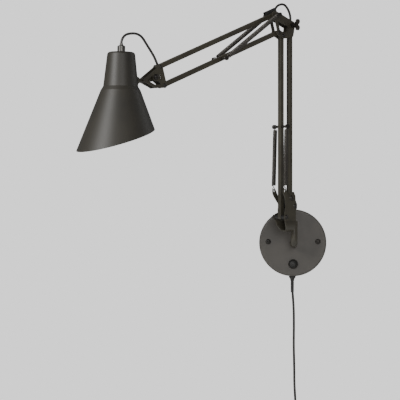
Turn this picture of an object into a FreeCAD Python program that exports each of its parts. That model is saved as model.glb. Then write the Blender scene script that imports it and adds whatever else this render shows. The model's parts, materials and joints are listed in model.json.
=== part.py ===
import FreeCAD, Part
import math
import os

# Swing arm wall sconce: a round canopy on the wall, a bent tube with a swivel, two
# parallelogram arms balanced by springs, and a spun metal shade on a tilting head.
# Millimetres. X is right, Y is into the wall and Z is up. The origin is on the wall at
# the canopy's centre. The arm is drawn in its own upright plane, with u forward from the
# swivel, n across it and z up, and is then turned to where it stands.

V = FreeCAD.Vector
ALONG, ACROSS, UP = V(1, 0, 0), V(0, 1, 0), V(0, 0, 1)

# Driving dimensions: the wall side
SWING_DEG = 35.0           # from the wall to the arm's plane
SWIVEL_OUT = 62.0          # from the wall to the swivel's axis
CANOPY_R, CANOPY_DEPTH, CANOPY_WALL = 60.0, 22.0, 1.5
SCREW_SPACING, SCREW_Z = 88.9, 2.0
STRAP_THICK, STRAP_WIDTH, STRAP_LENGTH = 2.0, 24.0, 104.0
ANCHOR_SPACING, ANCHOR_R = 60.0, 2.5
TUBE_R, TUBE_BORE, TUBE_Z, TUBE_TOP, TUBE_BEND = 6.0, 4.0, -2.0, 30.0, 14.0
SWITCH_Z, SWITCH_R, BUTTON_R, BUTTON_TRAVEL = -38.0, 8.7, 6.4, 2.5
# Driving dimensions: the arms, as (u, z) of each pivot
FRONT_FOOT = (29.5, 46.7)
REAR_OFFSET = (-19.2, 19.0)
LOWER_ARM = 319.0
ELBOW_TOP = (18.3, 35.4)       # from the front bar's top pivot
ELBOW_LOW = (9.95, 4.55)
UPPER_ARM, UPPER_DROP_DEG = 262.0, 22.6
BAR, BAR_WALL = 8.0, 1.0
PIN_R, BUSH_R = 2.0, 2.98
RUN, OPEN_RUN = 0.08, 0.25     # clearances of the pivots, and of the two that close a loop
LINK_IN, LINK_THICK = 6.7, 1.5
FORK_IN, FORK_THICK = 14.4, 2.0
STIRRUP_THICK = 2.2
SPRING_R, WIRE_R = 4.0, 0.7
SPRING_N = FORK_IN + FORK_THICK
SPRING_PIN_UP = 159.0          # from the front bar's lower pivot
HOOK = (33.0, 92.5)            # the hole in the fork's lug
UPPER_SPRING_PIN = 131.4       # from the bottom bar's rear pivot
# Driving dimensions: the head
TILT_OFFSET = (9.3, -17.4)     # from the top bar's front pivot to the tilt bolt
TIP_OFFSET = (32.1, -23.9)
SHADE_OFFSET = (74.3, -24.4)   # to the shade's axis at the height of its stub
SHADE_LEAN_DEG = 1.0
NECK_TOP, NECK_TOP_R, NECK_LOW, NECK_LOW_R = 46.7, 23.5, -10.7, 29.3     # heights from the stub
CONE_TOP, CONE_TOP_R, CONE_DEG = -17.3, 33.4, 21.0
SHADE_WALL, SHADE_CORNER_R, RIM, RIM_SLOPE = 1.1, 5.0, -97.2, 0.34
HOLDER_TOP, HOLDER_LOW, HOLDER_R = 38.7, -6.0, 17.5
LAMP_R, LAMP_AT = 22.5, -42.0
# Driving dimensions: the cords
CORD_D, LEAD_R = 4.2, 2.1
COIL_MEAN_R, COIL_TURNS = 23.0, 11

MADE = {}


def save(name, shape):
    shape.exportStep("parts/" + name + ".step")
    MADE[name] = shape


def add(p, q):
    return (p[0] + q[0], p[1] + q[1])


def at(p, n=0.0):
    return V(p[0], n, p[1])


def rod(p, n0, n1, r):
    """A cylinder across the arm's plane, through p."""
    return Part.makeCylinder(r, n1 - n0, at(p, n0), ACROSS)


def ring(p, n0, n1, r_out, r_in):
    return rod(p, n0, n1, r_out).cut(rod(p, n0 - 1, n1 + 1, r_in))


def web(p, q, r, n0, n1):
    """A flat link with round ends from p to q."""
    du, dz = q[0] - p[0], q[1] - p[1]
    long = math.hypot(du, dz)
    su, sz = -dz / long * r, du / long * r
    side = (su, sz)
    other = (-su, -sz)
    corners = [add(p, side), add(q, side), add(q, other), add(p, other)]
    return outline(corners, n0, n1).fuse([rod(p, n0, n1, r), rod(q, n0, n1, r)])


def outline(points, n0, n1):
    """A flat piece across the arm's plane from its outline's corners."""
    loop = Part.makePolygon([at(p, n0) for p in points + points[:1]])
    return Part.Face(loop).extrude(V(0, n1 - n0, 0))


def fused(shapes):
    return shapes[0].fuse(shapes[1:]).removeSplitter()


def mirrored(shape):
    return shape.mirror(V(0, 0, 0), ACROSS)


def both_sides(shape):
    return Part.makeCompound([shape, mirrored(shape)])


def turned(shape, p, drop_deg):
    """A piece drawn along +u from the origin, put at p and pointed down by drop_deg."""
    moved = shape.copy()
    moved.rotate(V(0, 0, 0), ACROSS, drop_deg)
    moved.translate(at(p))
    return moved


def in_row(shape):
    """From the arm's plane to where the arm stands."""
    moved = shape.copy()
    moved.rotate(V(0, 0, 0), UP, 180 + SWING_DEG)
    moved.translate(V(0, -SWIVEL_OUT, 0))
    return moved


def save_arm(name, shape):
    save(name, in_row(shape))


def spun(profile, axis_at, axis):
    """A solid of revolution from a closed outline of lines."""
    loop = Part.makePolygon(profile + profile[:1])
    return Part.Face(loop).revolve(axis_at, axis, 360)


def bends(points, end_share):
    """Each corner with the ways back and on, half its turn, and how far back its arc starts."""
    last = len(points) - 2
    for i in range(1, last + 1):
        a, b = points[i - 1] - points[i], points[i + 1] - points[i]
        half = (math.pi - a.getAngle(b)) / 2
        before, after = end_share if i == 1 else 0.45, end_share if i == last else 0.45
        back = min(a.Length * before, b.Length * after)
        yield points[i], a, b, half, back


def cord_wire(points, end_share):
    """Straight runs joined by tangent arcs."""
    edges = []
    start = points[0]
    for corner, a, b, half, back in bends(points, end_share):
        radius = back / math.tan(half)
        a.normalize()
        b.normalize()
        first, last = corner + a * back, corner + b * back
        inward = (a + b).normalize()
        middle = corner + inward * (radius / math.cos(half) - radius)
        edges.append(Part.LineSegment(start, first).toShape())
        edges.append(Part.Arc(first, middle, last).toShape())
        start = last
    edges.append(Part.LineSegment(start, points[-1]).toShape())
    return Part.Wire(edges)


def cord_tube(points, r, end_share=0.45):
    path = cord_wire(points, end_share)
    start = Part.Wire(Part.makeCircle(r, points[0], points[1] - points[0]))
    return path.makePipeShell([start], True, False), path.Length


def bend_radii(points, end_share=0.45):
    return [round(back / math.tan(half), 1) for _, _, _, half, back in bends(points, end_share)]


def hexagon(r, depth, p, axis):
    turns = [math.radians(60 * i) for i in range(6)]
    corners = [V(r * math.cos(turn), r * math.sin(turn), 0) for turn in turns]
    nut = Part.Face(Part.makePolygon(corners + corners[:1])).extrude(V(0, 0, depth))
    nut.Placement = FreeCAD.Placement(p, FreeCAD.Rotation(UP, axis))
    return nut


def dome(r, height, p, axis):
    """A domed screw head, flat side at p."""
    ball_r = (r * r + height * height) / (2 * height)
    direction = V(axis).normalize()
    ball = Part.makeSphere(ball_r, p + direction * (height - ball_r))
    return ball.common(Part.makeCylinder(r, height, p, direction))


os.makedirs("parts", exist_ok=True)
OUT = V(0, -1, 0)
FACE = -CANOPY_DEPTH

# Wall strap, behind the canopy, with two wall-screw holes and a tapped hole at each end
strap_corner = V(-STRAP_LENGTH / 2, -STRAP_THICK, SCREW_Z - STRAP_WIDTH / 2)
strap = Part.makeBox(STRAP_LENGTH, STRAP_THICK, STRAP_WIDTH, strap_corner)
for side in (-1, 1):
    strap = strap.cut(Part.makeCylinder(ANCHOR_R, 10, V(side * ANCHOR_SPACING / 2, 2, SCREW_Z), OUT))
    boss = Part.makeCylinder(4.5, 4, V(side * SCREW_SPACING / 2, -STRAP_THICK, SCREW_Z), OUT)
    strap = strap.fuse(boss).cut(Part.makeCylinder(2.0, 12, V(side * SCREW_SPACING / 2, 2, SCREW_Z), OUT))
save("wall_strap", strap.removeSplitter())

# Canopy, a drawn steel cup with a rolled front edge
cup = Part.makeCylinder(CANOPY_R, CANOPY_DEPTH, V(0, 0, 0), OUT)
hollow = Part.makeCylinder(CANOPY_R - CANOPY_WALL, CANOPY_DEPTH - CANOPY_WALL, V(0, 0, 0), OUT)
EDGE_R = 3.5


def front_edges(shape, y):
    return [e for e in shape.Edges if all(abs(v.Point.y - y) < 1e-6 for v in e.Vertexes)]


cup = cup.makeFillet(EDGE_R, front_edges(cup, FACE))
hollow = hollow.makeFillet(EDGE_R - CANOPY_WALL, front_edges(hollow, FACE + CANOPY_WALL))
canopy = cup.cut(hollow)
canopy = canopy.cut(Part.makeCylinder(TUBE_R + 0.1, 60, V(0, 5, TUBE_Z), OUT))
canopy = canopy.cut(Part.makeCylinder(SWITCH_R - 1.6, 60, V(0, 5, SWITCH_Z), OUT))
for side in (-1, 1):
    canopy = canopy.cut(Part.makeCylinder(2.2, 60, V(side * SCREW_SPACING / 2, 5, SCREW_Z), OUT))
CORD_X, CORD_Y = -0.8, -11.0
canopy = canopy.cut(Part.makeCylinder(3.4, 20, V(CORD_X, CORD_Y, -CANOPY_R + 8), -UP))
save("canopy", canopy)
screws = []
for side in (-1, 1):
    place = V(side * SCREW_SPACING / 2, FACE, SCREW_Z)
    screws.append(dome(4.8, 2.6, place, OUT).fuse(Part.makeCylinder(1.95, CANOPY_DEPTH - 1, place, -OUT)))
save("canopy_screws", Part.makeCompound(screws))

# Bent wall tube, with its nuts inside the canopy
BEND_END = TUBE_Z + TUBE_BEND
corner = V(0, -SWIVEL_OUT, TUBE_Z)
inner_end = V(0, -8, TUBE_Z)
bend_start, bend_stop = corner + V(0, TUBE_BEND, 0), corner + V(0, 0, TUBE_BEND)
bend_middle = corner + V(0, 1, 1) * (TUBE_BEND * (1 - math.sqrt(0.5)))
tube_path = Part.Wire([
    Part.LineSegment(inner_end, bend_start).toShape(),
    Part.Arc(bend_start, bend_middle, bend_stop).toShape(),
    Part.LineSegment(bend_stop, V(0, -SWIVEL_OUT, TUBE_TOP)).toShape(),
])


def along_tube(r):
    return tube_path.makePipeShell([Part.Wire(Part.makeCircle(r, inner_end, OUT))], True, False)


save("wall_tube", along_tube(TUBE_R).cut(along_tube(TUBE_BORE)))
nuts = []
for y0 in (FACE + CANOPY_WALL + 0.1, FACE + CANOPY_WALL + 5.3):
    nut = hexagon(10, 4, V(0, y0, TUBE_Z), V(0, 1, 0))
    nuts.append(nut.cut(Part.makeCylinder(TUBE_R + 0.05, 10, V(0, y0 - 2, TUBE_Z), V(0, 1, 0))))
# Switch: bezel outside, threaded body and nut inside, and the button in its bore
place = V(0, FACE, SWITCH_Z)
NECK_LONG = 8.0
bezel = dome(SWITCH_R, 2.4, place, OUT)
neck = Part.makeCylinder(SWITCH_R - 1.7, NECK_LONG, place, -OUT)
bore = Part.makeCylinder(BUTTON_R + RUN, NECK_LONG + 10, V(0, FACE - 5, SWITCH_Z), -OUT)
save("switch_bezel", bezel.fuse(neck).cut(bore).removeSplitter())
save("switch_case", Part.makeBox(20, 8, 16, V(-10, FACE + NECK_LONG + 0.2, SWITCH_Z - 8)))
nut = hexagon(11, 3, V(0, FACE + CANOPY_WALL + 0.1, SWITCH_Z), V(0, 1, 0))
nuts.append(nut.cut(Part.makeCylinder(SWITCH_R - 1.65, 10, V(0, FACE, SWITCH_Z), V(0, 1, 0))))
save("canopy_nuts", Part.makeCompound(nuts))
BUTTON_LONG, BUTTON_PROUD = 8.0, 1.6 + BUTTON_TRAVEL
button = Part.makeCylinder(BUTTON_R, BUTTON_LONG, V(0, FACE - BUTTON_PROUD + BUTTON_LONG, SWITCH_Z), OUT)
button = button.fuse(dome(BUTTON_R, 1.6, V(0, FACE - BUTTON_PROUD, SWITCH_Z), OUT))
save("switch_button", button.removeSplitter())

# Terminal block
save("terminal_block", Part.makeBox(24, 12, 14, V(-45, -16, -26)))

# Strain relief, tapered from a collar at the canopy's rim, with a snap neck inside
RELIEF_TOP = -CANOPY_R + 0.4
RELIEF_BORE = CORD_D / 2 + 0.4
profile = [
    (RELIEF_BORE, 6.5), (3.3, 6.5), (3.3, 0.0), (6.2, 0.0), (6.2, -2.0), (4.2, -4.4), (3.2, -8.0),
    (2.9, -29.0), (RELIEF_BORE, -29.0),
]
relief = spun([V(CORD_X + r, CORD_Y, RELIEF_TOP - 0.5 + z) for r, z in profile], V(CORD_X, CORD_Y, 0), UP)
save("strain_relief", relief)

# Mains cord, hanging down the wall to its coil
CORD = [
    V(-0.8, -11.0, -56.0), V(-0.8, -11.0, -86.0), V(1.6, -10.8, -112.0), V(2.2, -10.2, -146.0),
    V(1.7, -9.4, -184.0), V(2.9, -8.2, -222.0), V(3.1, -6.4, -256.0), V(5.2, -4.0, -284.5),
    V(5.4, -2.3, -311.0),
]
cord, cord_length = cord_tube(CORD, CORD_D / 2)

# Coil: the stored length as one ring, with its tie, and the plug on a short tail
COIL_ACROSS, COIL_LAYERS = 4, 3
COIL_AT = V(-22.0, -13.0, -318.8)
half_y, half_r = COIL_ACROSS * CORD_D / 2, COIL_LAYERS * CORD_D / 2
coil = Part.makeCylinder(COIL_MEAN_R + half_r, 2 * half_y, COIL_AT + V(0, half_y, 0), OUT)
coil = coil.cut(Part.makeCylinder(COIL_MEAN_R - half_r, 2 * half_y, COIL_AT + V(0, half_y, 0), OUT))
coil = coil.makeFillet(3.0, coil.Edges)
save("cord_coil", coil)
TIE_THICK, TIE_GAP, TIE_HIGH = 0.9, 0.45, 6.0
in_r, in_y = half_r + TIE_GAP, half_y + TIE_GAP
out_r, out_y = in_r + TIE_THICK, in_y + TIE_THICK
tie_out = Part.makeBox(2 * out_r, 2 * out_y, TIE_HIGH, V(-out_r, -out_y, -TIE_HIGH / 2))
tie_in = Part.makeBox(2 * in_r, 2 * in_y, 2 * TIE_HIGH, V(-in_r, -in_y, -TIE_HIGH))
tie = tie_out.cut(tie_in)
tie.translate(COIL_AT + V(-COIL_MEAN_R, 0, 0))
save("coil_tie", tie)
LAST_TURN_R = COIL_MEAN_R + CORD_D
TAIL = [
    COIL_AT + V(LAST_TURN_R, -3.0, -16.3),
    COIL_AT + V(LAST_TURN_R + 0.8, -2.2, -26),
    COIL_AT + V(LAST_TURN_R + 0.6, -1.6, -36),
]
save("mains_cord", Part.makeCompound([cord, cord_tube(TAIL, CORD_D / 2)[0]]))

# Fork: a stirrup, two side plates with spring lugs, the swivel hub and its hollow pin
STIRRUP_R, STIRRUP_LOW, STIRRUP_TOP = FORK_IN - 0.1, 21.0, 62.0
REAR_FOOT = add(FRONT_FOOT, REAR_OFFSET)
BACK = 7.0


def stirrup_block(r, low, inset):
    centre = low + r
    block = Part.makeBox(80, 2 * r, STIRRUP_TOP - centre + inset, V(-20, -r, centre))
    return block.fuse(Part.makeCylinder(r, 80, V(-20, 0, centre), ALONG))


SIDE = [
    (BACK, STIRRUP_LOW - 1), (18.0, STIRRUP_LOW - 1), (24.5, 25.0), (29.0, 32.0), (30.5, 38.0), (30.5, 42.9),
    (25.9, 42.9), (25.9, STIRRUP_TOP), (BACK, STIRRUP_TOP),
]
stirrup_in = STIRRUP_R - STIRRUP_THICK
stirrup = stirrup_block(STIRRUP_R, STIRRUP_LOW, 0)
stirrup = stirrup.cut(stirrup_block(stirrup_in, STIRRUP_LOW + STIRRUP_THICK, 5))
save_arm("fork_stirrup", stirrup.common(outline(SIDE, -2 * STIRRUP_R, 2 * STIRRUP_R)).removeSplitter())
PLATE_FOOT = [(8.7, 39.4), (29.5, 39.4), (33.0, 42.6), (33.6, 48.0)]
NEAR_FRONT = [(31.5, 58.0), (30.5, 68.0), (31.5, 76.0)]
FAR_FRONT = [(31.0, 51.8), (24.0, 54.5), (21.0, 60.0), (21.0, 66.0), (24.6, 71.0)]
PLATE_LUG = [(33.0, 82.4), (35.8, 87.5), (36.4, 93.0), (34.5, 96.0), (31.0, 96.0), (28.6, 92.0)]
PLATE_BACK = [
    (24.0, 82.0), (20.5, 90.0), (13.0, 91.0), (9.5, 84.0), (9.0, 76.0), (6.0, 69.5), (6.0, 62.0), (8.7, 58.0),
]
LOCK = (18.0, 80.0)


def fork_plate(front):
    plate = outline(PLATE_FOOT + front + PLATE_LUG + PLATE_BACK, FORK_IN, FORK_IN + FORK_THICK)
    for hole in (FRONT_FOOT, REAR_FOOT, LOCK):
        plate = plate.cut(rod(hole, 0, 2 * FORK_IN, PIN_R + 0.05))
    return plate.cut(rod(HOOK, 0, 2 * FORK_IN, 2.0))


save_arm("fork_plate_near", fork_plate(NEAR_FRONT))
save_arm("fork_plate_far", mirrored(fork_plate(FAR_FRONT)))
HUB_R, HUB_BACK, HUB_FRONT = 6.2, 5.5, 13.0
HUB_LOW, HUB_PLATE_LOW, HUB_PLATE_THICK = TUBE_TOP + 0.2, STIRRUP_LOW + STIRRUP_R, 4.0
HUB_TOP = HUB_PLATE_LOW + HUB_PLATE_THICK
hub_side = stirrup_in - 0.05
hub_half = [(0, HUB_R), (HUB_BACK, hub_side), (HUB_FRONT, hub_side)]
hub_corners = [V(u, n, HUB_PLATE_LOW) for u, n in hub_half]
hub_corners += [V(u, -n, HUB_PLATE_LOW) for u, n in reversed(hub_half)]
hub_plate = Part.Face(Part.makePolygon(hub_corners + hub_corners[:1])).extrude(UP * HUB_PLATE_THICK)
hub_boss = Part.makeCylinder(HUB_R, HUB_TOP - HUB_LOW, V(0, 0, HUB_LOW), UP)
hub_bore = Part.makeCylinder(TUBE_BORE - RUN + 0.03, 30, V(0, 0, HUB_LOW - 10), UP)
save_arm("swivel_hub", fused([hub_plate, hub_boss]).cut(hub_bore))
PIN_LOW = BEND_END + 1.5
swivel_pin = Part.makeCylinder(TUBE_BORE - RUN, HUB_TOP + 1.2 - PIN_LOW, V(0, 0, PIN_LOW), UP)
save_arm("swivel_pin", swivel_pin.cut(Part.makeCylinder(2.4, 60, V(0, 0, 0), UP)))
FORK_OUT = FORK_IN + FORK_THICK
bolts, fork_nuts, fork_spacers = [], [], []
for foot in (FRONT_FOOT, REAR_FOOT):
    head = dome(3.9, 2.4, at(foot, FORK_OUT + 0.05), ACROSS)
    bolts.append(rod(foot, -FORK_OUT - 5, FORK_OUT + 0.1, PIN_R).fuse(head))
    nut = hexagon(4.6, 3.2, at(foot, -FORK_OUT - 3.4), ACROSS)
    fork_nuts.append(nut.cut(rod(foot, -40, 40, PIN_R + 0.02)))
    spacer = ring(foot, BAR / 2 + 0.6, FORK_IN - 0.1, 3.4, PIN_R + 0.05)
    fork_spacers += [spacer, mirrored(spacer)]
lock_head = dome(4.8, 3.0, at(LOCK, FORK_OUT + 0.05), ACROSS)
bolts.append(rod(LOCK, FORK_IN - 1.5, FORK_OUT + 0.1, PIN_R).fuse(lock_head))
save_arm("fork_bolts", Part.makeCompound([b.removeSplitter() for b in bolts] + fork_nuts))
save_arm("fork_spacers", Part.makeCompound(fork_spacers))


# The four bars: square tubes with solid round ends, and a flanged bush in each pivot
def bar(long, holes):
    body = web((0, 0), (long, 0), BAR / 2, -BAR / 2, BAR / 2)
    inner = BAR - 2 * BAR_WALL
    body = body.cut(Part.makeBox(long - 18, inner, inner, V(9, -inner / 2, -inner / 2)))
    edge = BAR / 2
    for su, sv in ((1, 1), (1, -1), (-1, 1), (-1, -1)):
        trim = Part.makeBox(long, 1.6, 1.6, V(0, -0.8, -0.8))
        trim.rotate(V(0, 0, 0), ALONG, 45)
        trim.translate(V(0, su * (edge + 0.25), sv * (edge + 0.25)))
        body = body.cut(trim)
    for place, r in holes:
        body = body.cut(rod((place, 0), -10, 10, r))
    return body.removeSplitter()


def bush(place, run):
    sleeve = rod((place, 0), -BAR / 2 - 0.5, BAR / 2 + 0.5, BUSH_R)
    for n0 in (-BAR / 2 - 0.5, BAR / 2 + 0.02):
        sleeve = sleeve.fuse(rod((place, 0), n0, n0 + 0.48, BAR / 2))
    return sleeve.cut(rod((place, 0), -10, 10, PIN_R + run)).removeSplitter()


FRONT_TOP = add(FRONT_FOOT, (0, LOWER_ARM))
REAR_TOP = add(REAR_FOOT, (0, LOWER_ARM))
TOP_REAR = add(FRONT_TOP, ELBOW_TOP)
LOW_REAR = add(FRONT_TOP, ELBOW_LOW)
drop = math.radians(UPPER_DROP_DEG)
REACH = (UPPER_ARM * math.cos(drop), -UPPER_ARM * math.sin(drop))
TOP_FRONT = add(TOP_REAR, REACH)
LOW_FRONT = add(LOW_REAR, REACH)
ENDS = BUSH_R + 0.02
for name, foot, angle, long, extra, closing in (
    ("lower_front_bar", FRONT_FOOT, -90, LOWER_ARM, [(SPRING_PIN_UP, PIN_R + 0.25)], True),
    ("lower_rear_bar", REAR_FOOT, -90, LOWER_ARM, [], False),
    ("upper_top_bar", TOP_REAR, UPPER_DROP_DEG, UPPER_ARM, [], False),
    ("upper_bottom_bar", LOW_REAR, UPPER_DROP_DEG, UPPER_ARM, [(UPPER_SPRING_PIN, PIN_R)], True),
):
    save_arm(name, turned(bar(long, [(0, ENDS), (long, ENDS)] + extra), foot, angle))
    far_run = OPEN_RUN if closing else RUN
    bushes = Part.makeCompound([bush(0, RUN), bush(long, far_run)])
    save_arm(name.rsplit("_", 1)[0] + "_bushes", turned(bushes, foot, angle))

# Spring pins across the front bar and the bottom bar, with a collar at each end
SPRING_PIN = add(FRONT_FOOT, (0, SPRING_PIN_UP))
UPPER_PIN = add(LOW_REAR, (UPPER_SPRING_PIN * math.cos(drop), -UPPER_SPRING_PIN * math.sin(drop)))
PIN_END = SPRING_N + 4.6
for name, place, r in (
    ("lower_spring_pin", SPRING_PIN, PIN_R + 0.2),
    ("upper_spring_pin", UPPER_PIN, PIN_R - 0.05),
):
    collar = rod(place, PIN_END - 1.4, PIN_END, r + 1.6)
    save_arm(name, fused([rod(place, -PIN_END, PIN_END, r), collar, mirrored(collar)]))


# Springs: a close-wound coil with an eye round its pin, and a loop at the other end
def pointing(p, q):
    return math.hypot(q[0] - p[0], q[1] - p[1]), -math.degrees(math.atan2(q[1] - p[1], q[0] - p[0]))


EYE_R = PIN_R + WIRE_R + 0.4
TAIL_RUN = 6.0


def spring(p, q, long_end):
    length, angle = pointing(p, q)
    coil_tube = Part.makeCylinder(SPRING_R, length - TAIL_RUN - long_end, V(TAIL_RUN, SPRING_N, 0), ALONG)
    coil_tube = coil_tube.cut(Part.makeCylinder(SPRING_R - 2 * WIRE_R, length, V(0, SPRING_N, 0), ALONG))
    eye = Part.makeTorus(EYE_R, WIRE_R, V(0, SPRING_N, 0), ACROSS)
    neck = Part.makeCylinder(WIRE_R, TAIL_RUN - EYE_R + 1, V(EYE_R, SPRING_N, 0), ALONG)
    disc = Part.makeCylinder(SPRING_R, 1.2, V(TAIL_RUN, SPRING_N, 0), ALONG)
    return turned(fused([coil_tube, disc, neck, eye]), p, angle)


def end_loop(p, q, long_end, axis):
    length, angle = pointing(p, q)
    loop = Part.makeTorus(EYE_R, WIRE_R, V(length, SPRING_N, 0), axis)
    stem = Part.makeCylinder(WIRE_R, long_end - EYE_R + 0.9, V(length - long_end - 0.9, SPRING_N, 0), ALONG)
    plug = Part.makeCylinder(SPRING_R - 2 * WIRE_R - 0.1, 8, V(length - long_end - 8, SPRING_N, 0), ALONG)
    return turned(fused([plug, stem, loop]), p, angle)


HOOK_END, EYE_END = 6.6, 7.0
HOOK_LOOP = (HOOK[0], HOOK[1] + 2.8)
for name, p, q, long_end, axis in (
    ("lower_spring", SPRING_PIN, HOOK_LOOP, HOOK_END, UP),
    ("upper_spring", TOP_REAR, UPPER_PIN, EYE_END, ACROSS),
):
    one = spring(p, q, long_end)
    save_arm(name + "_near", one)
    save_arm(name + "_far", mirrored(one))
    save_arm(name + "_hooks", both_sides(end_loop(p, q, long_end, axis)))

# Elbow: two open triangular plates, their pins and washers, and the clamping wing screw
LINK_OUT = LINK_IN + LINK_THICK
HEEL = add(FRONT_TOP, (-16.0, 2.6))
elbow = fused([
    web(TOP_REAR, REAR_TOP, 7.0, LINK_IN, LINK_OUT),
    web(TOP_REAR, LOW_REAR, 3.0, LINK_IN, LINK_OUT),
    web(LOW_REAR, FRONT_TOP, 5.0, LINK_IN, LINK_OUT),
    web(FRONT_TOP, HEEL, 5.4, LINK_IN, LINK_OUT),
    web(HEEL, REAR_TOP, 6.0, LINK_IN, LINK_OUT),
])
for hole in (TOP_REAR, LOW_REAR, FRONT_TOP, REAR_TOP):
    elbow = elbow.cut(rod(hole, 0, 20, PIN_R + 0.03))
save_arm("elbow_plate_near", elbow)
save_arm("elbow_plate_far", mirrored(elbow))
washers = []
for place in (TOP_REAR, LOW_REAR, FRONT_TOP, REAR_TOP):
    washer = ring(place, BAR / 2 + 0.6, LINK_IN - 0.05, 3.6, PIN_R + 0.05)
    washers += [washer, mirrored(washer)]
cap = ring(TOP_REAR, PIN_END - 1.2, PIN_END + 2.4, PIN_R + 1.2, PIN_R + 0.02)
cap = cap.fuse(rod(TOP_REAR, PIN_END + 0.6, PIN_END + 2.4, PIN_R + 1.2))
spring_pin = rod(TOP_REAR, -PIN_END - 0.5, PIN_END + 0.5, PIN_R)
save_arm("elbow_spring_pin", Part.makeCompound([spring_pin, both_sides(cap.removeSplitter())]))
rivets = []
for place in (LOW_REAR, FRONT_TOP):
    head = dome(3.4, 1.6, at(place, LINK_OUT + 0.03), ACROSS)
    rivets.append(fused([rod(place, -LINK_OUT - 0.1, LINK_OUT + 0.1, PIN_R), head, mirrored(head)]))
save_arm("elbow_rivets", Part.makeCompound(rivets + washers))
WING_AT = LINK_OUT + 0.4
clamp_head = hexagon(4.4, 3.0, at(REAR_TOP, -LINK_OUT - 3.1), ACROSS)
WING_LONG, WING_THICK, EAR_R, EAR_UP = 12.0, 3.0, 4.6, 5.4
clamp_shank = rod(REAR_TOP, -LINK_OUT - 0.5, WING_AT + WING_LONG, PIN_R)
save_arm("elbow_clamp_bolt", clamp_head.fuse(clamp_shank).removeSplitter())
wing = rod(REAR_TOP, WING_AT, WING_AT + WING_LONG, PIN_R + 2.2)
for way in (-1, 1):
    ear_at = at(REAR_TOP, WING_AT + WING_LONG + 3) + V(-WING_THICK / 2, 0, way * EAR_UP)
    wing = wing.fuse(Part.makeCylinder(EAR_R, WING_THICK, ear_at, ALONG))
arm_at = at(REAR_TOP, WING_AT + WING_LONG - 3.5) + V(-WING_THICK / 2, 0, -EAR_UP)
wing = wing.fuse(Part.makeBox(WING_THICK, 7, 2 * EAR_UP, arm_at))
wing_bore = rod(REAR_TOP, WING_AT - 1, WING_AT + WING_LONG + 0.3, PIN_R + RUN)
save_arm("wing_screw", wing.cut(wing_bore).removeSplitter())

# Clip that holds the lead on top of the top bar's rear end
CLIP_LONG, CLIP_WIDE, CLIP_HIGH = 25.0, 6.4, 6.6
CLIP_LEAD_Z = BAR / 2 + 3.5
clip = Part.makeBox(CLIP_LONG, CLIP_WIDE, CLIP_HIGH, V(-9, -CLIP_WIDE / 2, BAR / 2 + 0.05))
long_edges = [e for e in clip.Edges if abs(e.Length - CLIP_LONG) < 1e-6]
clip = clip.makeFillet(1.4, [e for e in long_edges if e.CenterOfMass.z > CLIP_LEAD_Z])
clip = clip.cut(Part.makeCylinder(LEAD_R + 0.6, 60, V(-30, 0, CLIP_LEAD_Z), ALONG))
save_arm("lead_clip", turned(clip.removeSplitter(), TOP_REAR, UPPER_DROP_DEG))


def on_top_bar(s, off):
    along, rise = s * math.cos(drop) + off * math.sin(drop), off * math.cos(drop) - s * math.sin(drop)
    return add(TOP_REAR, (along, rise))


SHADE_AT = add(TOP_FRONT, SHADE_OFFSET)


def neck_axis(rise):
    """The shade's axis at a height over its stub: it leans a little."""
    return add(SHADE_AT, (-rise * math.tan(math.radians(SHADE_LEAN_DEG)), rise))


# Lead loops over the elbow and over the head, each in two halves that meet at its crest
CREST, HEAD_CREST = add(TOP_REAR, (-16.8, 19.5)), add(TOP_FRONT, (49.8, 54.4))
OVER_ELBOW = [add(TOP_REAR, p) for p in ((-24.8, 21.7), (-34.4, 12.4), (-39.6, 0.9))]
OVER_HEAD = [add(TOP_FRONT, p) for p in ((36.3, 55.0), (20.8, 34.6), (8.3, 18.6))]
IN_CLIP = on_top_bar(9, CLIP_LEAD_Z)
LOOP_ENDS = 0.9
LOOPS = {
    "elbow_lead_front": [IN_CLIP, on_top_bar(-9, CLIP_LEAD_Z), add(TOP_REAR, (-11.0, 17.9)), CREST],
    "elbow_lead_rear": [CREST, *OVER_ELBOW, add(REAR_TOP, (-1.9, 4.9))],
    "head_lead_front": [neck_axis(58.0), neck_axis(68.5), add(TOP_FRONT, (63.3, 53.8)), HEAD_CREST],
    "head_lead_rear": [HEAD_CREST, *OVER_HEAD, add(TOP_FRONT, (1.5, 4.9))],
}
for name, points in LOOPS.items():
    save_arm(name, cord_tube([at(p) for p in points], LEAD_R, LOOP_ENDS)[0])

# Head: two triangular link plates, their pins, and the bolt that the shade tilts on
TILT = add(TOP_FRONT, TILT_OFFSET)
TIP = add(TOP_FRONT, TIP_OFFSET)
KNEE = add(TILT, (0.5, -16.0))
TILT_BOLT_R = 2.5
head = fused([
    web(TOP_FRONT, LOW_FRONT, 4.4, LINK_IN, LINK_OUT),
    web(TOP_FRONT, TIP, 2.7, LINK_IN, LINK_OUT),
    web(TOP_FRONT, TILT, 4.2, LINK_IN, LINK_OUT),
    web(LOW_FRONT, KNEE, 2.8, LINK_IN, LINK_OUT),
    web(KNEE, TIP, 2.4, LINK_IN, LINK_OUT),
    web(LOW_FRONT, TILT, 2.8, LINK_IN, LINK_OUT),
    rod(TILT, LINK_IN, LINK_OUT, 7.0),
])
for hole, r in ((TOP_FRONT, PIN_R + 0.03), (LOW_FRONT, PIN_R + 0.03), (TILT, TILT_BOLT_R + 0.03)):
    head = head.cut(rod(hole, 0, 20, r))
save_arm("head_plate_near", head)
save_arm("head_plate_far", mirrored(head))
pins, washers = [], []
for place in (TOP_FRONT, LOW_FRONT):
    cap = dome(3.4, 1.6, at(place, LINK_OUT + 0.03), ACROSS)
    pins.append(fused([rod(place, -LINK_OUT - 0.1, LINK_OUT + 0.1, PIN_R), cap, mirrored(cap)]))
    washer = ring(place, BAR / 2 + 0.6, LINK_IN - 0.05, 3.6, PIN_R + 0.05)
    washers += [washer, mirrored(washer)]
washer = ring(TILT, 2.9, LINK_IN - 0.05, 5.0, TILT_BOLT_R + 0.05)
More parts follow.
